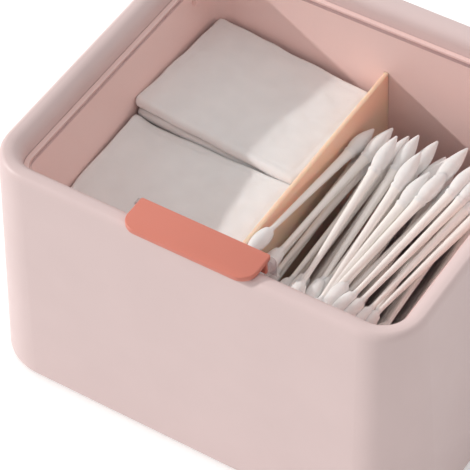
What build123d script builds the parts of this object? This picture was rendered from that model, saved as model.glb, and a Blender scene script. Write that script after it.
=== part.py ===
"""Lidded vanity box for cotton pads and cotton swabs, in millimetres.

A double-walled box: an outer shell whose wall rolls over a soft rim, a tray that hangs inside
the rim, a base plate that closes the wall from below, and a clear lid that lies down in the rim
on two hinge pins and lifts by a tab. X runs left to right, Y front to back, Z up from the table.
"""

from build123d import *
from math import cos, pi, radians, sin, tan
import os

os.makedirs("parts", exist_ok=True)

# ---------------------------------------------------------------- driving sizes
# Case, measured across the rim
rim_width = 144.5
rim_depth = 124.1
case_height = 86.4  # lower edge of the wall to the crest of the rim
plan_corner = 14.6  # corner radius in plan, where the wall meets the rim
side_lean = 3.0  # degrees, each outer wall leans out towards the base
foot_lift = 1.0  # the feet hold the case this far off the table

# Shell: wall and rolled rim
shell_wall = 2.6
base_round = 1.6
rim_outer_run = 1.9  # quarter ellipse from the wall up to the crest
rim_outer_rise = 2.7
rim_land = 0.7  # nearly flat crest
rim_inner_run = 4.25  # quarter ellipse from the crest down to the skirt
rim_inner_fall = 4.25
skirt_wall = 1.9
rim_skin = 2.4  # thickness over the hollow of the rim
skirt_reach = 6.8  # the skirt runs this far below the top of the lid

# Tray
tray_wall = 1.6
tray_floor = 1.8
tray_lift = 1.6  # air between the base plate and the tray's floor
tray_heel = 2.0  # bevel round the underside
flange_thickness = 1.8
lid_drop = 7.2  # crest of the rim to the top of the lid, and of the tray's lip

# Base plate and feet
plate_thickness = 2.0
plate_step = 0.8  # ledge in the shell's wall that the plate seats in
bead_width = 1.8  # bead on the plate that carries the tray
foot_radius = 5.0
foot_seat = 0.7  # depth of the foot's pocket in the plate
foot_edge = 0.4
foot_from_edge = 17.0

# Divider
divider_thickness = 1.6
divider_height = 55.1  # above the tray's floor
divider_x = -0.3
groove_depth = 0.8

# Lid, hinge and tab
lid_thickness = 1.8
lid_gap = 0.35
lid_edge = 0.35
tongue_width = 47.6
tongue_thickness = 1.7
tongue_rise = 1.3  # above the crest of the rim
tongue_corner = 1.4
tongue_root = 1.0
hinge_from_edge = 7.3  # hinge axis to the rear edge of the lid
barrel_radius = 1.9
barrel_length = 8.5
pin_radius = 0.85
pin_in_barrel = 6.8
pin_past_tray = 1.6
nib_reach = 1.7  # nib on each side of the tray: the lid lies on it, and its heel stops at it
nib_length = 4.3
nib_height = 6.0
nib_from_axis = 2.2
nib_bevel = 0.7
tab_width = 44.2
tab_thickness = 1.9
tab_overhang = 1.7
tab_corner = 5.1
tab_edge = 0.45
tab_x = 1.0
tab_flange = 1.3
tab_flange_drop = 3.9

# Clearances
tray_gap = 0.15
seat_gap = 0.2
groove_gap = 0.12
hinge_gap = 0.06
press_gap = 0.02
tab_gap = 0.35
soft_gap = 0.3

# Cotton pads: two stacks, and swabs: a packed bundle with layers of single ones on top
pad_length = 59.0
pad_depth = 50.5
pad_thickness = 4.0
pad_pitch = 4.1
rear_pads_count = 12
front_pads_count = 11
pad_corner = 2.5
rear_pads_at = (-32.4, 26.2)
rear_pads_turn = -3.0
front_pads_at = (-32.5, -27.1)
front_pads_turn = -1.0
swab_length = 75.0
stick_radius = 1.25
bud_radius = 2.7
bud_length = 13.5
swab_sides = 8
swab_turn = 5.0  # degrees off the divider's line
swab_dip = 7.0  # degrees, the front ends lie lower
layers = 2
layer_pitch = 5.6
layer_count = 10
bundle_height = 40.5  # at its middle
bundle_depth = 70.0
slide = 4.5  # how far a swab may lie off the middle, lengthwise
slide_step = 2.4
layer_slip = 0.7

# ---------------------------------------------------------------- derived levels and insets
# An inset is measured inwards from the outside of the rim; the leaning wall has a negative one.
shell_base = foot_lift
crest = foot_lift + case_height
wall_top = crest - rim_outer_rise
skirt_inset = rim_outer_run + rim_land + rim_inner_run
tray_outer_inset = skirt_inset + tray_gap
tray_inner_inset = tray_outer_inset + tray_wall
lid_inset = tray_inner_inset + lid_gap
lid_top = crest - lid_drop
skirt_foot = lid_top - skirt_reach
plate_top = shell_base + plate_thickness
tray_base = plate_top + tray_lift
floor_top = tray_base + tray_floor
divider_top = floor_top + divider_height
hinge_y = rim_depth / 2 - lid_inset - hinge_from_edge
hinge_z = lid_top - barrel_radius
tray_half_width = rim_width / 2 - tray_inner_inset
tray_half_depth = rim_depth / 2 - tray_inner_inset
lid_half_width = rim_width / 2 - lid_inset


def lean(z):
    """How far the outer wall stands out beyond the rim at height z."""
    return (wall_top - z) * tan(radians(side_lean))


def plan(inset, z):
    """The case's rounded plan, moved in by an inset, as a face at height z."""
    outline = RectangleRounded(rim_width - 2 * inset, rim_depth - 2 * inset, plan_corner - inset)
    return Pos(0, 0, z) * outline


def slab(inset, low, high):
    """An upright block on that plan."""
    return extrude(plan(inset, low), amount=high - low)


def rod_x(radius, low_x, high_x, y, z):
    """A round rod along X."""
    return Pos((low_x + high_x) / 2, y, z) * Rot(0, 90, 0) * Cylinder(radius, high_x - low_x)


# ---------------------------------------------------------------- outer shell
def shell_section():
    """The wall, rolled rim and skirt as one section, at the middle of the front."""
    front = -rim_depth / 2
    land_end = rim_outer_run + rim_land
    hollow_top = crest - rim_skin
    skirt_back = skirt_inset - skirt_wall
    rebate_side = shell_wall - plate_step - lean(plate_top)

    def at(inset, z):
        return (front + inset, z)

    outer_round = EllipticalCenterArc(
        at(rim_outer_run, wall_top), rim_outer_run, rim_outer_rise, start_angle=90, arc_size=90
    )
    inner_round = EllipticalCenterArc(
        at(land_end, crest - rim_inner_fall), rim_inner_run, rim_inner_fall, start_angle=0, arc_size=90
    )
    wall = Line(at(0, wall_top), at(-lean(shell_base), shell_base))
    land = Line(at(rim_outer_run, crest), at(land_end, crest))
    inside = Polyline(
        at(-lean(shell_base), shell_base),
        at(rebate_side, shell_base),
        at(rebate_side, plate_top),
        at(shell_wall - lean(plate_top), plate_top),
        at(shell_wall - lean(hollow_top), hollow_top),
        at(skirt_back - rim_outer_run / 2, hollow_top),
        at(skirt_back, crest - rim_inner_fall),
        at(skirt_back, skirt_foot),
        at(skirt_inset, skirt_foot),
        at(skirt_inset, crest - rim_inner_fall),
    )
    face = make_face([outer_round, land, inner_round, inside, wall])
    lower_edge = face.vertices().group_by(Axis.Y)[0].sort_by(Axis.X)[0]
    return Plane.YZ * fillet(lower_edge, base_round)


def half_path():
    """Half of the rim's plan, from the middle of the front round the right side to the back."""
    side = rim_width / 2
    front = rim_depth / 2
    return FilletPolyline(
        (0, -front), (side, -front), (side, front), (0, front), radius=plan_corner
    )


def outer_shell():
    """The section swept round the plan, with a hole each side for a hinge pin."""
    right_half = sweep(shell_section(), path=half_path())
    shell = right_half + mirror(right_half, about=Plane.YZ)
    reach = rim_width / 2 - skirt_inset + skirt_wall + soft_gap
    return shell - rod_x(pin_radius + hinge_gap, -reach, reach, hinge_y, hinge_z)


# ---------------------------------------------------------------- tray and divider
def tray_nib(side):
    """Moulded nib on a side wall, just under the lid and ahead of its hinge."""
    y = hinge_y - nib_from_axis - nib_length / 2
    z = lid_top - lid_thickness - seat_gap - nib_height / 2
    x = side * (tray_half_width - nib_reach / 2 + tray_wall / 4)
    block = Pos(x, y, z) * Box(nib_reach + tray_wall / 2, nib_length, nib_height)
    lower = block.edges().filter_by(Axis.Y).group_by(Axis.Z)[0].sort_by(Axis.X)
    inner_lower = lower[0] if side > 0 else lower[-1]
    return chamfer(inner_lower, nib_bevel)


def inner_tray():
    """Compartments' walls and floor, with a flange that seats under the shell's skirt."""
    body = slab(tray_outer_inset, tray_base, lid_top)
    body = chamfer(body.edges().group_by(Axis.Z)[0], tray_heel)
    hollow = slab(tray_inner_inset, floor_top, lid_top + tray_floor)
    flange_inset = skirt_inset - skirt_wall
    flange = slab(flange_inset, skirt_foot - flange_thickness, skirt_foot)
    tray = body + flange - hollow
    groove_reach = 2 * (tray_half_depth + groove_depth)
    groove_height = divider_height + groove_gap
    groove_width = divider_thickness + 2 * groove_gap
    groove = Pos(divider_x, 0, floor_top + groove_height / 2) * Box(
        groove_width, groove_reach, groove_height
    )
    tray = tray - groove
    for side in (-1, 1):
        tray = tray + tray_nib(side)
    reach = rim_width / 2
    return tray - rod_x(pin_radius + hinge_gap, -reach, reach, hinge_y, hinge_z)


def divider():
    """Thin partition that springs into the tray's two grooves, with a rounded top edge."""
    length = 2 * (tray_half_depth + groove_depth - groove_gap)
    plate = Pos(divider_x, 0, floor_top + divider_height / 2) * Box(
        divider_thickness, length, divider_height
    )
    top_edges = plate.edges().filter_by(Axis.Y).group_by(Axis.Z)[-1]
    return fillet(top_edges, divider_thickness * 0.4)


# ---------------------------------------------------------------- base plate and feet
def foot_places():
    across = rim_width / 2 - foot_from_edge
    along = rim_depth / 2 - foot_from_edge
    return [(x, y) for y in (-along, along) for x in (-across, across)]


def base_plate():
    """Closes the shell from below; a bead on it carries the tray, pockets take the feet."""
    edge_inset = shell_wall - plate_step - lean(plate_top) + tray_gap
    plate = slab(edge_inset, shell_base, plate_top)
    bead_outer = tray_outer_inset + tray_heel
    bead = slab(bead_outer, plate_top, tray_base) - slab(bead_outer + bead_width, plate_top, tray_base)
    plate = plate + bead
    for x, y in foot_places():
        pocket = Pos(x, y, shell_base + foot_seat / 2) * Cylinder(foot_radius + tray_gap, foot_seat)
        plate = plate - pocket
    return plate


def foot(x, y):
    """Soft round foot, seated in its pocket."""
    height = foot_lift + foot_seat
    pad = Pos(x, y, height / 2) * Cylinder(foot_radius, height)
    return chamfer(pad.edges().group_by(Axis.Z)[0], foot_edge)


# ---------------------------------------------------------------- lid, hinge pins and tab
def clear_lid():
    """Clear plate with a tongue that rises at the front and a hinge barrel at each rear corner."""
    plate = slab(lid_inset, lid_top - lid_thickness, lid_top)
    plate = chamfer(plate.edges().group_by(Axis.Z)[-1], lid_edge)
    front = -rim_depth / 2 + lid_inset
    tongue_low = lid_top - lid_thickness / 2
    tongue_high = crest + tongue_rise
    tongue_height = tongue_high - tongue_low
    tongue = Pos(tab_x, front + tongue_thickness / 2, tongue_low + tongue_height / 2) * Box(
        tongue_width, tongue_thickness, tongue_height
    )
    tongue = fillet(tongue.edges().filter_by(Axis.Y).group_by(Axis.Z)[-1], tongue_corner)
    root_y = front + tongue_thickness
    root_profile = make_face(
        Polyline(
            (root_y, lid_top - lid_edge),
            (root_y + tongue_root, lid_top - lid_edge),
            (root_y + tongue_root, lid_top),
            (root_y, lid_top + tongue_root),
            close=True,
        )
    )
    root_start = Plane.YZ.offset(tab_x - tongue_width / 2)
    root = extrude(root_start * root_profile, amount=tongue_width)
    lid = plate + tongue + root
    inner_end = lid_half_width - barrel_length
    for side in (-1, 1):
        ends = sorted((side * inner_end, side * (lid_half_width - lid_gap)))
        bore_ends = sorted((side * (lid_half_width - pin_in_barrel), side * rim_width / 2))
        lid = lid + rod_x(barrel_radius, ends[0], ends[1], hinge_y, hinge_z)
        lid = lid - rod_x(pin_radius + press_gap, bore_ends[0], bore_ends[1], hinge_y, hinge_z)
    return lid


def hinge_pin(side):
    """Steel pin, pressed in the lid's barrel, that turns in the tray's wall and the shell's skirt."""
    inner = lid_half_width - pin_in_barrel
    outer = rim_width / 2 - skirt_inset + pin_past_tray
    ends = sorted((side * inner, side * outer))
    return rod_x(pin_radius, ends[0], ends[1], hinge_y, hinge_z)


def lid_tab():
    """Lifting tab: a rounded plate over the front rim, with a flange down the tongue's face."""
    low = crest + tab_gap
    front = -rim_depth / 2 - tab_overhang
    tongue_front = -rim_depth / 2 + lid_inset
    back = tongue_front + tongue_thickness
    depth = back - front
    plate = Pos(tab_x, (front + back) / 2, low + tab_thickness / 2) * Box(
        tab_width, depth, tab_thickness
    )
    plate = fillet(plate.edges().filter_by(Axis.Z).group_by(Axis.Y)[0], tab_corner)
    plate = chamfer(plate.edges().group_by(Axis.Z)[-1], tab_edge)
    flange_low = low - tab_flange_drop
    flange_high = low + tab_thickness / 2
    flange = Pos(tab_x, tongue_front - tab_flange / 2, (flange_low + flange_high) / 2) * Box(
        tab_width, tab_flange, flange_high - flange_low
    )
    pocket_height = crest + tongue_rise - low
    pocket = Pos(tab_x, back - tongue_thickness / 2, low + pocket_height / 2) * Box(
        tab_width + tab_thickness, tongue_thickness, pocket_height
    )
    return plate + flange - pocket


# ---------------------------------------------------------------- cotton pads and swabs
def pad_stack(place, turn, count):
    """A stack of cotton pads with cut corners, from the tray's floor up."""
    outline = Rectangle(pad_length, pad_depth)
    pad = extrude(chamfer(outline.vertices(), pad_corner), pad_thickness)
    pads = []
    for index in range(count):
        level = floor_top + index * pad_pitch
        pads.append(Pos(place[0], place[1], level) * Rot(0, 0, turn) * pad)
    return Compound(children=pads)


def swab_rings():
    """Where each ring of a swab lies along it, and its radius: pointed bud, stick, pointed bud."""
    half = swab_length / 2
    bud = [
        (half, bud_radius * 0.25),
        (half - bud_length * 0.2, bud_radius * 0.75),
        (half - bud_length * 0.55, bud_radius),
        (half - bud_length, stick_radius),
    ]
    return bud + [(-place, radius) for place, radius in reversed(bud)]


def swab():
    """One double-ended swab along Y, with flat facets between its rings."""
    steps = [2 * pi * side / swab_sides for side in range(swab_sides)]
    rings = [
        [Vector(radius * cos(step), place, radius * sin(step)) for step in steps]
        for place, radius in swab_rings()
    ]
    facets = [Face(Wire.make_polygon(rings[0])), Face(Wire.make_polygon(rings[-1]))]
    for ring, following in zip(rings, rings[1:]):
        for side in range(swab_sides):
            beside = (side + 1) % swab_sides
            corners = [ring[side], ring[beside], following[beside], following[side]]
            facets.append(Face(Wire.make_polygon(corners)))
    return Solid(Shell(facets))


def cotton_swabs():
    """Layers of parallel swabs on the packed bundle, each slid a little against the next."""
    turn = radians(swab_turn)
    half_room = swab_length / 2 * sin(turn) + bud_radius / cos(turn) + soft_gap
    first = divider_x + divider_thickness / 2 + half_room
    last = tray_half_width - half_room
    step = (last - first) / (layer_count - 1)
    dip = radians(swab_dip)
    swabs = []
    for layer in range(layers):
        off_bundle = (soft_gap + bud_radius + layer * layer_pitch) / cos(dip)
        for index in range(layer_count):
            along = slide * sin(slide_step * index) + layer * layer_slip
            level = floor_top + bundle_height + off_bundle + along * tan(dip)
            spot = Pos(first + index * step, along, level) * Rot(swab_dip, 0, 0)
            swabs.append(spot * Rot(0, 0, -swab_turn) * swab())
    return Compound(children=swabs)


def swab_bundle():
    """The packed swabs under the layers that show, as one block whose top dips to the front."""
    left = divider_x + divider_thickness / 2 + soft_gap
    right = tray_half_width - soft_gap
    half = bundle_depth / 2
    top = floor_top + bundle_height
    fall = half * tan(radians(swab_dip))
    side = make_face(
        Polyline(
            (-half, floor_top), (half, floor_top), (half, top + fall), (-half, top - fall), close=True
        )
    )
    block = extrude(Plane.YZ.offset(left) * side, amount=right - left)
    return fillet(block.edges().filter_by(Axis.X), bud_length / 3)


# ---------------------------------------------------------------- write the pieces
pieces = {
    "outer_shell": outer_shell(),
    "inner_tray": inner_tray(),
    "base_plate": base_plate(),
    "divider": divider(),
    "clear_lid": clear_lid(),
    "lid_tab": lid_tab(),
    "hinge_pin_left": hinge_pin(-1),
    "hinge_pin_right": hinge_pin(1),
    "rear_pads": pad_stack(rear_pads_at, rear_pads_turn, rear_pads_count),
    "front_pads": pad_stack(front_pads_at, front_pads_turn, front_pads_count),
    "cotton_swabs": cotton_swabs(),
    "swab_bundle": swab_bundle(),
}
for name, (x, y) in zip(("front_left", "front_right", "rear_left", "rear_right"), foot_places()):
    pieces["foot_" + name] = foot(x, y)

for name, piece in pieces.items():
    export_step(piece, "parts/" + name + ".step")
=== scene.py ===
# %% [markdown]
# # A box for cotton pads and cotton swabs
# This lesson dresses a small vanity box that was first modelled as solids in a CAD program. The
# solids arrive as a fixed frame: they hold the right sizes and they know how the lid turns. What
# is left for Blender is all that makes the box look real: the satin of the moulded plastic, the
# clear lid, soft cotton pads, and a heap of pointed swabs. All lengths are in metres.

import math
import random

import bmesh
import bpy
from mathutils import Euler, Matrix, Vector, noise


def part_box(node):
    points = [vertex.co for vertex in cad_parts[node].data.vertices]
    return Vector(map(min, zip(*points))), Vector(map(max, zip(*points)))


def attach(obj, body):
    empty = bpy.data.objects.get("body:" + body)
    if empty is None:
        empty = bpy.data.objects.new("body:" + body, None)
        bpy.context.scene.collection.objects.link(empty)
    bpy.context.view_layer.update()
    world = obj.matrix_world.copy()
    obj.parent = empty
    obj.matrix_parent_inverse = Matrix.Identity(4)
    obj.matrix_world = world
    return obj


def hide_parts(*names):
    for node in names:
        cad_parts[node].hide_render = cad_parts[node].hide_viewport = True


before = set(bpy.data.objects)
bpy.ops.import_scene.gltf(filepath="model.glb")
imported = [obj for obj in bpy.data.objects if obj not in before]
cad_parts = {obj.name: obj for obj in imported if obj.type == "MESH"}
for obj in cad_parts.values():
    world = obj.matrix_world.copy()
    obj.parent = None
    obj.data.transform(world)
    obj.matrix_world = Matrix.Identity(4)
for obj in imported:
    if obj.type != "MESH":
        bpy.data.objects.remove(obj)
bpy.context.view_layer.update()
mm = 0.001
print("nodes:", sorted(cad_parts))

# %% [markdown]
# ## The camera
# The photograph is taken with a long lens from the front right, looking down at 48 degrees. A
# long lens keeps the box's edges nearly parallel. Its place, turn and focal length were worked
# out from the edges of the box, its lid, its divider and its tab, so the render can be laid over
# the photograph. The camera is a touch tilted about its own axis, which the tilt gives.

# %% Camera
image_side = 470  # the picture is square
focal_pixels = 2734.1
camera_place = (308.417 * mm, -481.718 * mm, 667.614 * mm)
camera_turn = 34.653  # degrees, seen from above
camera_dip = 47.780
camera_tilt = -2.968

camera_data = bpy.data.cameras.new("photo_camera")
camera_data.sensor_width = 36.0
camera_data.lens = focal_pixels / image_side * camera_data.sensor_width
camera = bpy.data.objects.new("photo_camera", camera_data)
turn = Euler((math.radians(90 - camera_dip), 0, math.radians(camera_turn)), "XYZ").to_matrix()
tilt = Matrix.Rotation(math.radians(camera_tilt), 3, "Z")
camera_axes = turn @ tilt
camera.matrix_world = Matrix.Translation(camera_place) @ camera_axes.to_4x4()
bpy.context.scene.collection.objects.link(camera)
bpy.context.scene.camera = camera
print("lens", round(camera_data.lens, 1), "mm")

# %% [markdown]
# ## Helpers for modelling
# Every piece below is modelled as by hand: add a primitive, go to edit mode, select some faces or
# edges, run an operator, come back. Two helpers keep that short. `only` makes one object the
# selected and active one, and `pick` selects parts of its mesh by a test on their place.

# %% Selection helpers
def only(piece):
    """Select this object alone and make it active."""
    bpy.ops.object.select_all(action="DESELECT")
    piece.select_set(True)
    bpy.context.view_layer.objects.active = piece


def pick(kind, wanted):
    """In edit mode, select the 'VERT', 'EDGE' or 'FACE' parts for which wanted(part) is true."""
    mesh = bmesh.from_edit_mesh(bpy.context.object.data)
    bpy.ops.mesh.select_mode(type=kind)
    bpy.ops.mesh.select_all(action="DESELECT")
    parts = {"VERT": mesh.verts, "EDGE": mesh.edges, "FACE": mesh.faces}[kind]
    chosen = [part for part in parts if wanted(part)]
    for part in chosen:
        part.select_set(True)
    mesh.select_flush_mode()
    bmesh.update_edit_mesh(bpy.context.object.data)
    return len(chosen)


def edge_middle(edge):
    return (edge.verts[0].co + edge.verts[1].co) / 2


def runs_along(edge, axis):
    """True where the edge is parallel to the axis with that number."""
    step = edge.verts[1].co - edge.verts[0].co
    return abs(step[axis]) > 0.999 * step.length


def block(name, low, high):
    """A cube primitive that fills the space between two corners, with its place in its mesh."""
    low, high = Vector(low), Vector(high)
    bpy.ops.mesh.primitive_cube_add(size=1, location=(low + high) / 2)
    piece = bpy.context.object
    piece.name = name
    piece.scale = high - low
    bpy.ops.object.transform_apply(location=True, rotation=True, scale=True)
    return piece


def apply_all(piece):
    """Apply every modifier, in order."""
    only(piece)
    for modifier in list(piece.modifiers):
        bpy.ops.object.modifier_apply(modifier=modifier.name)


print("helpers ready")

# %% [markdown]
# ## Light
# The photograph is a soft studio shot on white. One light stands to the left: the left rim throws
# a slanting shadow, and the same light leaves a bright strip of cotton beside the divider. All
# the rest comes from the white room, for which the world stands in. The room is darker beyond the
# box's front right corner, as if a dark flag hung there: it draws the soft dark band down that
# corner. Rays that look straight at the background, or see it mirrored or through something
# clear, find it plain white.

# %% Light
key_slope = 0.64  # how far the light drops for each step to the right
key_forward = 0.45  # and how far it goes towards the back
key_energy = 1.8
key_angle = 1.5  # degrees; small, so that the rim's shadow has a clear edge
key_colour = (1.0, 0.985, 0.97)
room_colour = (1.0, 0.985, 0.975)
room_strength = 0.74
flag_way = Vector((0.78, -0.62, 0.0)).normalized()
flag_flatness = 2.4  # the flag is wide, and stands low
flag_edge = 0.50  # the cosine, from the flag's middle, at which the room begins to darken
flag_heart = 0.78  # and at which it gives no light


def sun(name, way, energy, angle, colour):
    """A lamp so far off that its light is parallel; a wide angle makes soft shadows."""
    lamp = bpy.data.lights.new(name, "SUN")
    lamp.energy = energy
    lamp.angle = math.radians(angle)
    lamp.color = colour
    holder = bpy.data.objects.new(name, lamp)
    holder.rotation_euler = Vector(way).to_track_quat("-Z", "Y").to_euler()
    bpy.context.scene.collection.objects.link(holder)


def background_ray(tree):
    """A socket that is 1 for camera, mirrored and see-through rays, and 0 for all others."""
    path = tree.nodes.new("ShaderNodeLightPath")
    found = path.outputs["Is Camera Ray"]
    for other in ("Is Glossy Ray", "Is Transmission Ray"):
        larger = tree.nodes.new("ShaderNodeMath")
        larger.operation = "MAXIMUM"
        tree.links.new(found, larger.inputs[0])
        tree.links.new(path.outputs[other], larger.inputs[1])
        found = larger.outputs[0]
    return found


sun("key_light", (1.0, key_forward, -key_slope), key_energy, key_angle, key_colour)

world = bpy.data.worlds.new("white_room")
bpy.context.scene.world = world
world.use_nodes = True
room = world.node_tree
room.nodes.clear()
room_light = room.nodes.new("ShaderNodeBackground")
room_light.inputs["Color"].default_value = (*room_colour, 1)
way = room.nodes.new("ShaderNodeTexCoord")
low_wide = room.nodes.new("ShaderNodeVectorMath")
low_wide.operation = "MULTIPLY"
low_wide.inputs[1].default_value = (1.0, 1.0, flag_flatness)
even = room.nodes.new("ShaderNodeVectorMath")
even.operation = "NORMALIZE"
to_flag = room.nodes.new("ShaderNodeVectorMath")
to_flag.operation = "DOT_PRODUCT"
to_flag.inputs[1].default_value = flag_way
room.links.new(way.outputs["Generated"], low_wide.inputs[0])
room.links.new(low_wide.outputs["Vector"], even.inputs[0])
room.links.new(even.outputs["Vector"], to_flag.inputs[0])
flag = room.nodes.new("ShaderNodeMapRange")
flag.interpolation_type = "SMOOTHSTEP"
flag.inputs["From Min"].default_value = flag_edge
flag.inputs["From Max"].default_value = flag_heart
flag.inputs["To Min"].default_value = room_strength
flag.inputs["To Max"].default_value = 0.0
room.links.new(to_flag.outputs["Value"], flag.inputs["Value"])
room.links.new(flag.outputs["Result"], room_light.inputs["Strength"])
room_seen = room.nodes.new("ShaderNodeBackground")
room_seen.inputs["Color"].default_value = (1, 1, 1, 1)
room_seen.inputs["Strength"].default_value = 1.0
choose = room.nodes.new("ShaderNodeMixShader")
room_out = room.nodes.new("ShaderNodeOutputWorld")
room.links.new(background_ray(room), choose.inputs["Fac"])
room.links.new(room_light.outputs[0], choose.inputs[1])
room.links.new(room_seen.outputs[0], choose.inputs[2])
room.links.new(choose.outputs[0], room_out.inputs["Surface"])
bpy.context.scene.view_settings.view_transform = "Standard"
print("key light drops", round(math.degrees(math.atan(key_slope))), "degrees across the box")

# %% [markdown]
# ## Materials
# A finished material is more than a colour. Moulded plastic has a fine spark-eroded grain that
# breaks up its highlight, and its colour is never quite even. Both come from noise textures read
# in object coordinates, one coarse for the tone and one fine for the bump. The helper below
# builds that pair once, and each finish then sets its own colour, gloss and grain.

# %% Material helpers
class Finish:
    """A material under construction, with short calls to add and join nodes."""

    def __init__(self, name):
        self.material = bpy.data.materials.new(name)
        self.material.use_nodes = True
        self.tree = self.material.node_tree
        self.shader = self.tree.nodes["Principled BSDF"]
        self.place = self.node("ShaderNodeTexCoord").outputs["Object"]

    def node(self, kind, **values):
        made = self.tree.nodes.new(kind)
        for key_name, value in values.items():
            setattr(made, key_name, value)
        return made

    def join(self, source, target):
        self.tree.links.new(source, target)

    def noise(self, size, detail=3.0, stretch=(1, 1, 1), roughness=0.5):
        """Noise whose lumps are about `size` metres across, longer where stretch is larger."""
        mapping = self.node("ShaderNodeMapping")
        mapping.inputs["Scale"].default_value = [1 / (size * s) for s in stretch]
        self.join(self.place, mapping.inputs["Vector"])
        lumps = self.node("ShaderNodeTexNoise")
        lumps.inputs["Scale"].default_value = 1.0
        lumps.inputs["Detail"].default_value = detail
        lumps.inputs["Roughness"].default_value = roughness
        self.join(mapping.outputs["Vector"], lumps.inputs["Vector"])
        return lumps.outputs["Fac"]

    def remap(self, source, low, high):
        """Spread a noise, which stays near a half, over low to high."""
        spread = self.node("ShaderNodeMapRange")
        spread.inputs["From Min"].default_value = 0.3
        spread.inputs["From Max"].default_value = 0.7
        spread.inputs["To Min"].default_value = low
        spread.inputs["To Max"].default_value = high
        self.join(source, spread.inputs["Value"])
        return spread.outputs["Result"]

    def tone(self, colour, other, size, **options):
        """Base colour that wanders between two near colours."""
        mix = self.node("ShaderNodeMix", data_type="RGBA")
        mix.inputs["A"].default_value = (*colour, 1)
        mix.inputs["B"].default_value = (*other, 1)
        self.join(self.remap(self.noise(size, **options), 0, 1), mix.inputs["Factor"])
        self.join(mix.outputs["Result"], self.shader.inputs["Base Color"])

    def gloss(self, low, high, size):
        """Roughness that varies a little over the surface."""
        self.join(self.remap(self.noise(size), low, high), self.shader.inputs["Roughness"])

    def bump(self, source, height, strength=1.0, under=None):
        bump = self.node("ShaderNodeBump")
        bump.inputs["Distance"].default_value = height
        bump.inputs["Strength"].default_value = strength
        self.join(source, bump.inputs["Height"])
        if under is not None:
            self.join(under, bump.inputs["Normal"])
        self.join(bump.outputs["Normal"], self.shader.inputs["Normal"])
        return bump.outputs["Normal"]


def mixed(colour, factor):
    """The colour made darker or lighter."""
    return tuple(min(1.0, channel * factor) for channel in colour)


def moulded_plastic(name, colour, roughness, grain=0.35 * mm):
    """Satin moulded plastic: slightly uneven tone and gloss, and a fine grain."""
    finish = Finish(name)
    finish.tone(mixed(colour, 0.985), mixed(colour, 1.015), 22 * mm)
    finish.gloss(roughness - 0.05, roughness + 0.05, 9 * mm)
    finish.shader.inputs["IOR"].default_value = 1.5
    finish.shader.inputs["Specular IOR Level"].default_value = 0.45
    finish.bump(finish.noise(grain, detail=2.0), 0.012 * mm)
    return finish


def paint(piece, finish):
    """Give the whole piece this finish."""
    piece.data.materials.clear()
    piece.data.materials.append(finish.material)


print("material helpers ready")

# %% [markdown]
# ## The pink case
# The outer wall and its rolled rim are one pale blush moulding. The tray inside is the same
# plastic, but its colour is set lighter and a touch deeper in tone: that is painted bounce light,
# for light that bounces between its walls takes on their colour. The divider is warmer still, a
# translucent peach. The peach is partly its own colour and partly painted glow, the warm light
# that shines through the thin plate and bounces onto its shaded face; a little subsurface light
# lets it glow for real where the lamp stands behind it. These solids already have the right
# shape, so they keep their meshes and only get their finish.

# %% Case finishes
blush = (0.715, 0.562, 0.548)
# painted bounce light: the tray is set lighter and deeper in tone than the shell, for light
# bounced between its walls
tray_blush_painted_bounce = (0.905, 0.660, 0.620)
# partly painted glow: the peach also stands for warm light shining through the plate and bounced
# onto its shaded face
peach_and_painted_glow = (0.950, 0.670, 0.500)
foot_grey = (0.45, 0.38, 0.37)

shell_finish = moulded_plastic("blush_shell", blush, 0.42)
tray_finish = moulded_plastic("blush_tray_painted_bounce", tray_blush_painted_bounce, 0.40)
divider_finish = moulded_plastic("peach_divider", peach_and_painted_glow, 0.38)
divider_finish.shader.inputs["Subsurface Weight"].default_value = 0.6
divider_finish.shader.inputs["Subsurface Radius"].default_value = (1.0, 0.5, 0.3)
divider_finish.shader.inputs["Subsurface Scale"].default_value = 3 * mm
foot_finish = moulded_plastic("soft_foot", foot_grey, 0.75, grain=0.2 * mm)

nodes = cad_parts
paint(nodes["outer_shell"], shell_finish)
for name in ("inner_tray", "base_plate"):
    paint(nodes[name], tray_finish)
paint(nodes["divider"], divider_finish)
for name in nodes:
    if name.startswith("foot_"):
        paint(nodes[name], foot_finish)
print("case painted")

# %% [markdown]
# ## Hinge pins
# The two short pins behind the lid are plain drawn steel. Drawing leaves fine lines along the
# wire, which here runs along X, so the noise for the bump is stretched that way.

# %% Hinge pins
pin_finish = Finish("drawn_steel")
pin_finish.shader.inputs["Metallic"].default_value = 1.0
pin_finish.tone((0.60, 0.60, 0.61), (0.66, 0.66, 0.67), 3 * mm)
pin_finish.gloss(0.22, 0.34, 1 * mm)
pin_finish.bump(pin_finish.noise(0.1 * mm, stretch=(30, 1, 1)), 0.004 * mm)
for name in ("hinge_pin_left", "hinge_pin_right"):
    paint(nodes[name], pin_finish)
print("pins painted")

# %% [markdown]
# ## The clear lid
# A thin clear plate shows itself by its edges: looked at flat on, it takes almost nothing from
# what lies under it, while its cut edges look a faint purple grey, the shade that refraction
# gives them. That shade is painted here: the shader lets light straight through, and its alpha
# over a purple grey grows where the surface stands upright in the lid's own space, most of all
# at the plate's own level, and less on the tongue above it.

# %% Lid finish
# painted shade: a purple grey laid on the lid's upright edges in place of the shade that
# refraction gives them
edge_purple_painted_shade = (0.36, 0.20, 0.23)
plate_top = 80.2 * mm
tongue_level = 80.6 * mm  # from here up it is the tongue that shows
plate_alpha = 0.40
tongue_alpha = 0.30
flat_share = 0.03  # how much of the edges' alpha the flat faces keep

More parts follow.
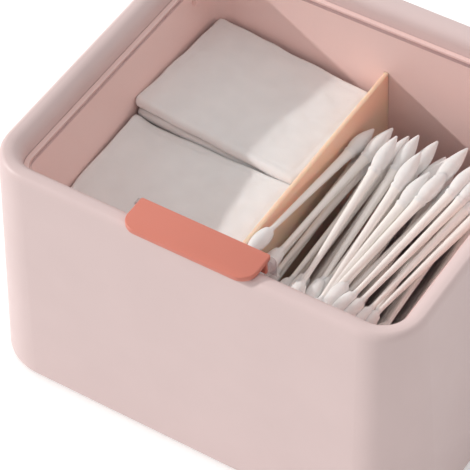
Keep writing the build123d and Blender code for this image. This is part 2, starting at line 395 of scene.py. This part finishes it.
lid_finish = Finish("clear_plastic")
clear = lid_finish.shader
clear.inputs["Base Color"].default_value = (*edge_purple_painted_shade, 1)
clear.inputs["Roughness"].default_value = 0.08
clear.inputs["IOR"].default_value = 1.49
upright = lid_finish.node("ShaderNodeSeparateXYZ")
coordinates = lid_finish.place.node
lid_finish.join(coordinates.outputs["Normal"], upright.inputs[0])
level = lid_finish.node("ShaderNodeMath", operation="ABSOLUTE")
lid_finish.join(upright.outputs["Z"], level.inputs[0])
body = lid_finish.node("ShaderNodeMapRange")
body.inputs["From Min"].default_value = 0.3
body.inputs["From Max"].default_value = 0.9
body.inputs["To Min"].default_value = 1.0
body.inputs["To Max"].default_value = flat_share
lid_finish.join(level.outputs[0], body.inputs["Value"])
height = lid_finish.node("ShaderNodeSeparateXYZ")
lid_finish.join(lid_finish.place, height.inputs[0])
above = lid_finish.node("ShaderNodeMapRange")
above.inputs["From Min"].default_value = plate_top
above.inputs["From Max"].default_value = tongue_level
above.inputs["To Min"].default_value = plate_alpha
above.inputs["To Max"].default_value = tongue_alpha
lid_finish.join(height.outputs["Z"], above.inputs["Value"])
alpha = lid_finish.node("ShaderNodeMath", operation="MULTIPLY")
lid_finish.join(body.outputs["Result"], alpha.inputs[0])
lid_finish.join(above.outputs["Result"], alpha.inputs[1])
lid_finish.join(alpha.outputs[0], clear.inputs["Alpha"])
paint(nodes["clear_lid"], lid_finish)
print("lid painted")

# %% [markdown]
# ## The lifting tab
# The coral tab is a small plate with two round front corners. It lies over the rim, and behind
# the rim a flange goes down along the lid's tongue. It starts as a block of the plate's size.
# The corners are bevelled wide, the strip for the flange is cut out of the underside with two
# bisecting planes and extruded down, and a last bevel softens every edge as a mould would.

# %% Tab
tab_clearance = 0.35 * mm  # between the rim's crest and the tab's underside
flange_thickness = 1.3 * mm
front_corner = 5.1 * mm
back_corner = 0.7 * mm
mould_radius = 0.4 * mm

tab_low, tab_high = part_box("lid_tab")
lid_low, lid_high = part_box("clear_lid")
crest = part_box("outer_shell")[1].z
plate_low = crest + tab_clearance
tongue_front = lid_low.y
flange_front = tongue_front - flange_thickness

tab = block("coral_tab", (tab_low.x, tab_low.y, plate_low), tab_high)
bpy.ops.object.mode_set(mode="EDIT")
pick("EDGE", lambda e: runs_along(e, 2) and edge_middle(e).y < tab_low.y + mm)
bpy.ops.mesh.bevel(offset=front_corner, offset_type="OFFSET", segments=12, affect="EDGES")
pick("EDGE", lambda e: runs_along(e, 2) and edge_middle(e).y > tab_high.y - 0.1 * mm)
bpy.ops.mesh.bevel(offset=back_corner, offset_type="OFFSET", segments=4, affect="EDGES")
for cut in (flange_front, tongue_front):
    bpy.ops.mesh.select_all(action="SELECT")
    bpy.ops.mesh.bisect(plane_co=(0, cut, 0), plane_no=(0, 1, 0))


def under_plate(face, front, back):
    """True for a face of the plate's underside that lies between these two places."""
    middle = face.calc_center_median()
    return face.normal.z < -0.9 and front < middle.y < back


pick("FACE", lambda f: under_plate(f, flange_front, tongue_front))
bpy.ops.mesh.extrude_region_move(TRANSFORM_OT_translate={"value": (0, 0, tab_low.z - plate_low)})
pick("FACE", lambda f: under_plate(f, tongue_front, tab_high.y))
pocket = lid_high.z - plate_low
bpy.ops.mesh.extrude_region_move(TRANSFORM_OT_translate={"value": (0, 0, pocket)})
bpy.ops.object.mode_set(mode="OBJECT")
soften = tab.modifiers.new("mould radius", "BEVEL")
soften.width = mould_radius
soften.segments = 3
soften.limit_method = "ANGLE"
soften.angle_limit = math.radians(40)
apply_all(tab)
bpy.ops.object.shade_smooth_by_angle(angle=math.radians(35))

coral = (0.655, 0.210, 0.152)
tab_finish = moulded_plastic("coral_tab", coral, 0.40)
tab_finish.shader.inputs["Subsurface Weight"].default_value = 0.1
tab_finish.shader.inputs["Subsurface Radius"].default_value = (1.0, 0.35, 0.25)
tab_finish.shader.inputs["Subsurface Scale"].default_value = 0.8 * mm
paint(tab, tab_finish)
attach(tab, "lid")
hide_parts("lid_tab")
print("tab faces:", len(tab.data.polygons))

# %% [markdown]
# ## Cotton
# Cotton has no highlight. It scatters light in its fibres, brightest at grazing angles, which the
# sheen of the shader gives. Its surface is fine fluff over soft lumps, so the bump has two
# sizes. The paper stick of a swab is smoother, a little creamy, with fibres along its length.

# %% Cotton and paper finishes
cotton_white = (0.845, 0.825, 0.812)
paper_cream = (0.930, 0.885, 0.845)


def cotton(name, lump):
    """Cotton whose soft lumps are about this size."""
    finish = Finish(name)
    finish.tone(mixed(cotton_white, 0.97), mixed(cotton_white, 1.02), 6 * mm, detail=4.0)
    finish.shader.inputs["Roughness"].default_value = 0.95
    finish.shader.inputs["Specular IOR Level"].default_value = 0.2
    finish.shader.inputs["Sheen Weight"].default_value = 0.18
    finish.shader.inputs["Sheen Roughness"].default_value = 0.6
    finish.shader.inputs["Subsurface Weight"].default_value = 0.5
    finish.shader.inputs["Subsurface Radius"].default_value = (1.0, 0.9, 0.85)
    finish.shader.inputs["Subsurface Scale"].default_value = lump / 2
    soft = finish.bump(finish.noise(lump, detail=2.0), 0.25 * mm, strength=0.5)
    finish.bump(finish.noise(0.4 * mm, detail=4.0, roughness=0.7), 0.05 * mm, under=soft)
    return finish


pad_finish = cotton("cotton_pad", 4 * mm)
bud_finish = cotton("cotton_bud", 2 * mm)
stick_finish = Finish("paper_stick")
stick_finish.tone(mixed(paper_cream, 0.96), mixed(paper_cream, 1.03), 2 * mm, stretch=(1, 8, 1))
stick_finish.shader.inputs["Roughness"].default_value = 0.6
stick_finish.bump(stick_finish.noise(0.25 * mm, stretch=(1, 14, 1)), 0.02 * mm)
print("cotton ready")

# %% [markdown]
# ## One cotton pad
# A pad is a thin pillow of cotton with pressed edges: flat on top, round at its corners, with a
# seam line a few millimetres in from the edge. It starts as a block with bevelled corners. A
# voxel remesh gives it an even skin that can be pushed about. Then the seam is pressed in and a
# cloud texture makes the faces gently uneven, the way a stack settles.

# %% Pad
pad_length = 61 * mm
pad_depth = 48.5 * mm
pad_thickness = 4.0 * mm
pad_corner = 1.8 * mm
pad_round = 1.4 * mm  # of the edges above and below
seam_inset = 3.0 * mm
seam_width = 0.9 * mm
seam_press = 0.35 * mm


def from_edge(point):
    """How far a point is inside the pad's rounded outline."""
    x = abs(point.x) - (pad_length / 2 - pad_corner)
    y = abs(point.y) - (pad_depth / 2 - pad_corner)
    if x > 0 and y > 0:
        return pad_corner - math.hypot(x, y)
    return pad_corner - max(x, y)


def in_seam(vertex):
    """True where the seam is pressed in."""
    return abs(from_edge(vertex.co) - seam_inset) < seam_width / 2


def make_pad(name, skin):
    """A pad round the origin; skin is the size of its faces."""
    half = Vector((pad_length, pad_depth, pad_thickness)) / 2
    pad = block(name, -half, half)
    bpy.ops.object.mode_set(mode="EDIT")
    pick("EDGE", lambda e: runs_along(e, 2))
    bpy.ops.mesh.bevel(offset=pad_corner, offset_type="OFFSET", segments=8, affect="EDGES")
    pick("EDGE", lambda e: not runs_along(e, 2) and abs(edge_middle(e).z) > half.z - 1e-5)
    bpy.ops.mesh.bevel(offset=pad_round, offset_type="OFFSET", segments=3, affect="EDGES")
    bpy.ops.object.mode_set(mode="OBJECT")
    remesh = pad.modifiers.new("even skin", "REMESH")
    remesh.mode = "VOXEL"
    remesh.voxel_size = skin
    apply_all(pad)
    bpy.ops.object.mode_set(mode="EDIT")
    for side in (1, -1):
        pick("VERT", lambda v: in_seam(v) and v.co.z * side > 0)
        bpy.ops.transform.translate(value=(0, 0, -side * seam_press))
    bpy.ops.object.mode_set(mode="OBJECT")
    relax = pad.modifiers.new("relax", "SMOOTH")
    relax.factor = 0.5
    relax.iterations = 2
    apply_all(pad)
    bpy.ops.object.shade_smooth()
    return pad


top_pad = make_pad("pad_pattern", 0.8 * mm)
plain_pad = make_pad("plain_pad_pattern", 1.5 * mm)
print("pad faces:", len(top_pad.data.polygons), len(plain_pad.data.polygons))

# %% [markdown]
# ## Two stacks of pads
# The rear stack is one pad higher than the front one. The pads of a stack are copies of the
# pattern, each with its own mesh, turned and slid by a seeded random amount, because no stack is
# dead straight. Where the two stacks press on each other their upper pads are pushed up. The rear
# ones rise to the left as well, and the front one's top pad curls up at the left wall.

# %% Stacks
pad_pitch = 4.1 * mm
# Of each stack: its middle, turn in degrees and number of pads; then, of its top pad, the rise to
# the back, the rise to the right and the curl at the wall.
stacks = {
    "rear_pads": ((-32.4 * mm, 27.7 * mm), -1.5, 12, -2.8 * mm, -4.5 * mm, 0.0),
    "front_pads": ((-32.9 * mm, -21.2 * mm), -1.0, 11, 2.6 * mm, 1.5 * mm, 3.2 * mm),
}
curl_width = 12 * mm
fray_size = 11 * mm  # about the length of one dent in a pad's outline
fray_share = 0.02  # the depth of a dent, as a share of the pad's size
chance = random.Random(7)


def settle(piece, strength, size):
    """Raise and lower the piece's surface with a cloud texture whose clouds have this size."""
    cloud = bpy.data.textures.new(piece.name + "_cloud", "CLOUDS")
    cloud.noise_scale = size
    uneven = piece.modifiers.new("uneven", "DISPLACE")
    uneven.texture = cloud
    uneven.texture_coords = "GLOBAL"
    uneven.direction = "Z"
    uneven.strength = strength
    uneven.mid_level = 0.5
    apply_all(piece)


def fray(pad, level):
    """Draw the pad's outline in a little, here and there."""
    for vertex in pad.data.vertices:
        spot = Vector((vertex.co.x, vertex.co.y, 0)) / fray_size
        wander = noise.noise(spot + Vector((0, 0, 5 * level)))
        pull = 1 - fray_share * max(0.0, wander + 0.3)
        vertex.co.x *= pull
        vertex.co.y *= pull


def curl_up(pad, rise):
    """Lift the pad's left edge, where it leans on the wall."""
    for vertex in pad.data.vertices:
        share = max(0.0, (curl_width - pad_length / 2 - vertex.co.x) / curl_width)
        vertex.co.z += rise * share * share


def tilt_pad(pad, back_rise, right_rise):
    """Lift the pad's back, or its front where back_rise is negative, and tip it sideways."""
    side = 1 if back_rise > 0 else -1
    for vertex in pad.data.vertices:
        share = 0.5 + side * vertex.co.y / pad_depth
        vertex.co.z += abs(back_rise) * share + right_rise * vertex.co.x / pad_length


def build_stack(node, middle, turn_degrees, count, back_rise, right_rise, curl):
    """Pile up copies of the pads and join them into one piece, which replaces the solid stack."""
    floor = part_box(node)[0].z
    copies = []
    for level in range(count):
        pattern = top_pad if level >= count - 2 else plain_pad
        pad = pattern.copy()
        pad.data = pattern.data.copy()
        bpy.context.scene.collection.objects.link(pad)
        height = floor + pad_thickness / 2 + level * pad_pitch
        slip = Vector((chance.uniform(-0.25, 0.25), chance.uniform(-0.3, 0.3), 0)) * mm
        pad.location = Vector((*middle, height)) + slip
        pad.rotation_euler.z = math.radians(turn_degrees + chance.uniform(-0.4, 0.4))
        fray(pad, level)
        share = level / (count - 1)
        tilt_pad(pad, back_rise * share, right_rise * share)
        if level == count - 1:
            curl_up(pad, curl)
        copies.append(pad)
    bpy.ops.object.select_all(action="DESELECT")
    for pad in copies:
        pad.select_set(True)
    bpy.context.view_layer.objects.active = copies[-1]
    bpy.ops.object.join()
    stack = bpy.context.object
    stack.name = node + "_soft"
    bpy.ops.object.transform_apply(location=True, rotation=True, scale=True)
    settle(stack, 1.6 * mm, 26 * mm)
    settle(stack, 0.7 * mm, 7 * mm)
    paint(stack, pad_finish)
    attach(stack, "case")
    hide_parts(node)
    return stack


for node, plan in stacks.items():
    stack = build_stack(node, *plan)
    print(node, "faces:", len(stack.data.polygons))
for pattern in (top_pad, plain_pad):
    bpy.data.objects.remove(pattern)

# %% [markdown]
# ## One cotton swab
# A swab is a paper stick with a pointed cotton bud at each end. The stick is a cylinder lying
# along Y. Each bud grows out of its end face: extrude a little, scale the new ring, and again,
# following a short list of distances and radii. A subdivision surface then rounds it.
# The buds and the stick are one mesh with two materials.

# %% Swab
swab_half = 37.5 * mm
stick_radius = 1.25 * mm
stick_taper = 0.35  # by this share the stick is thicker at its back end and thinner in front
bud_root = 17 * mm  # this and the next two are distances from the tip: the cylinder's end
taper_stop = 16 * mm  # where the taper no longer grows
cotton_start = 15.5 * mm  # where the cotton's finish begins
bud_steps = [  # distance from the tip, radius
    (16.0, 1.35),
    (14.5, 1.65),
    (13.5, 2.1),
    (11.2, 2.7),
    (8.0, 2.75),
    (5.0, 2.1),
    (2.4, 1.25),
    (0.8, 0.6),
    (0.0, 0.28),
]


def make_swab():
    """A swab round the origin that lies along Y."""
    root = swab_half - bud_root
    bpy.ops.mesh.primitive_cylinder_add(
        vertices=10, radius=stick_radius, depth=2 * root, rotation=(math.pi / 2, 0, 0)
    )
    swab = bpy.context.object
    swab.name = "swab_pattern"
    bpy.ops.object.transform_apply(location=True, rotation=True, scale=True)
    paint(swab, stick_finish)
    swab.data.materials.append(bud_finish.material)
    bpy.ops.object.mode_set(mode="EDIT")
    bpy.ops.mesh.select_all(action="SELECT")
    bpy.ops.mesh.bisect(plane_co=(0, 0, 0), plane_no=(0, 1, 0))
    for end in (1, -1):
        pick("FACE", lambda f: f.normal.y * end > 0.9)
        place, radius = root, stick_radius
        for from_tip, new_radius in bud_steps:
            new_place = swab_half - from_tip * mm
            growth = new_radius * mm / radius
            step = (0, end * (new_place - place), 0)
            bpy.ops.mesh.extrude_region_move(TRANSFORM_OT_translate={"value": step})
            bpy.ops.transform.resize(
                value=(growth, 1, growth), center_override=(0, end * new_place, 0)
            )
            place, radius = new_place, new_radius * mm
    pick("FACE", lambda f: abs(f.calc_center_median().y) > swab_half - cotton_start)
    bpy.context.object.active_material_index = 1
    bpy.ops.object.material_slot_assign()
    bpy.ops.object.mode_set(mode="OBJECT")
    rounder = swab.modifiers.new("round", "SUBSURF")
    rounder.levels = 1
    rounder.render_levels = 1
    apply_all(swab)
    reach = swab_half - taper_stop
    for vertex in swab.data.vertices:  # the stick narrows to the front
        share = max(-1.0, min(1.0, vertex.co.y / reach))
        growth = 1 + stick_taper * share if abs(vertex.co.y) < reach + 2 * mm else 1
        vertex.co.x *= growth
        vertex.co.z *= growth
    bpy.ops.object.shade_smooth()
    return swab


swab = make_swab()
print("swab faces:", len(swab.data.polygons))

# %% [markdown]
# ## The heap of swabs
# Rows of parallel swabs fill the compartment from its floor and dip more and more to the front.
# The swabs that show lie on them. Where the back tip of each shows in the photograph was read
# off, except for the first three, which are hidden there, and the last four, which lie past its
# right
# edge: those seven are guessed. The turn, the rise and the height of the tip were chosen. The
# pixel fixes the line of sight, and the height the place on that line. Every swab is a copy with
# its own mesh, spun on its own axis and bent a little. The swabs aren't settled, so neighbours in
# the heap reach into each other by up to 5 mm.

# %% Heap
row_pitch = 5.6 * mm
row_count = 7
swabs_in_row = 10
row_dip = 8.0  # degrees, of the uppermost row
first_row = 2.9 * mm  # from the solid bundle's underside to the axes of the lowest row
side_gap = 3.6 * mm  # from the bundle's sides to the outermost axes
row_slack = 0.25  # the room left free in a row, as a share of one swab's room

seen_swabs = [  # tip's pixel across and down; turn and rise in degrees; tip's height in mm
    (378, 137, 1, 2, 47),
    (386, 142, 3, 5, 49),
    (400, 147, 3, 6, 50),
    (374, 129, 1, -8, 51),
    (393, 128, 4, 2, 54),
    (446, 157, 6, 8, 53),
    (454, 156, 7, 8, 55),
    (438, 141, 3, 8, 56),
    (409, 136, 1, 8, 54),
    (419, 135, -1, 9, 58),
    (467, 177, 12, 9, 56),
    (430, 172, 6, 9, 58),
    (397, 136, -2, 9, 60),
    (421, 152, 0, 10, 60),
    (450, 169, 10, 10, 60),
    (468, 148, 8, 10, 61),
    (481, 162, 10, 9, 60),
    (491, 170, 11, 9, 59),
    (497, 177, 10, 9, 57),
    (509, 184, 12, 9, 56),
]


def swab_pose(place, turn_degrees, rise_degrees):
    """Where a swab lies whose middle is at this place."""
    turned = Matrix.Rotation(math.radians(-turn_degrees), 4, "Z")
    raised = Matrix.Rotation(math.radians(rise_degrees), 4, "X")
    return Matrix.Translation(place) @ turned @ raised


def lay_swab(pose):
    """A copy of the swab, spun, bent and put in place."""
    copy = swab.copy()
    copy.data = swab.data.copy()
    bpy.context.scene.collection.objects.link(copy)
    spin = Matrix.Rotation(chance.uniform(0, math.tau), 4, "Y")
    copy.data.transform(spin)
    bend = chance.uniform(-1, 1) * 0.4 * mm
    for vertex in copy.data.vertices:
        share = vertex.co.y / swab_half
        vertex.co.x += bend * (1 - share * share)
    copy.data.transform(pose)
    return copy


def seen_at(across, down, height):
    """The point at this height that the camera sees at this pixel."""
    ray = Vector((across - image_side / 2, image_side / 2 - down, -focal_pixels))
    ray = camera_axes @ ray
    start = Vector(camera_place)
    return start + ray * (height - start.z) / ray.z


def heap(name, copies, *replaced):
    """Join the swabs into one piece, which replaces these solids."""
    bpy.ops.object.select_all(action="DESELECT")
    for copy in copies:
        copy.select_set(True)
    bpy.context.view_layer.objects.active = copies[0]
    bpy.ops.object.join()
    made = bpy.context.object
    made.name = name
    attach(made, "case")
    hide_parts(*replaced)
    return made


low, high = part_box("swab_bundle")
row_copies = []
for row in range(row_count):
    height = low.z + first_row + row * row_pitch
    rise = row_dip * row / (row_count - 1)
    shift = (row % 2) * 0.5
    for index in range(swabs_in_row):
        share = (index + shift + row_slack) / (swabs_in_row + row_slack)
        x = low.x + side_gap + (high.x - low.x - 2 * side_gap) * share
        place = Vector((x, chance.uniform(-3, 3) * mm, height))
        pose = swab_pose(place, chance.uniform(-0.6, 0.6), rise)
        row_copies.append(lay_swab(pose))
packed = heap("swabs_below", row_copies, "swab_bundle")

top_copies = []
for across, down, turn_degrees, rise, height in seen_swabs:
    pose = swab_pose((0, 0, 0), turn_degrees, rise)
    tip = pose @ Vector((0, swab_half, 0))
    pose.translation = seen_at(across, down, height * mm) - tip
    top_copies.append(lay_swab(pose))
    print("swab at", [round(value / mm, 1) for value in pose.translation])
seen = heap("swabs_on_top", top_copies, "cotton_swabs")
bpy.data.objects.remove(swab)
print("swab faces:", len(seen.data.polygons), len(packed.data.polygons))

# %% [markdown]
# ## Floor
# A wide white floor under the feet. It isn't part of the object.
# What the camera sees of it is raised to plain white, but the object's shadow stays on it.

# %% Floor
floor_glow = 0.2  # only for the rays that see the background

bpy.ops.mesh.primitive_plane_add(size=6, location=(0, 0, 0))
floor = bpy.context.object
floor.name = "white_floor"
floor_finish = Finish("white_floor")
floor_finish.tone((0.93, 0.93, 0.93), (0.95, 0.95, 0.95), 300 * mm)
floor_finish.shader.inputs["Roughness"].default_value = 0.9
floor_finish.shader.inputs["Emission Color"].default_value = (1, 1, 1, 1)
glow = floor_finish.node("ShaderNodeMath", operation="MULTIPLY")
glow.inputs[1].default_value = floor_glow
floor_finish.join(background_ray(floor_finish.tree), glow.inputs[0])
floor_finish.join(glow.outputs[0], floor_finish.shader.inputs["Emission Strength"])
paint(floor, floor_finish)
print("floor laid")
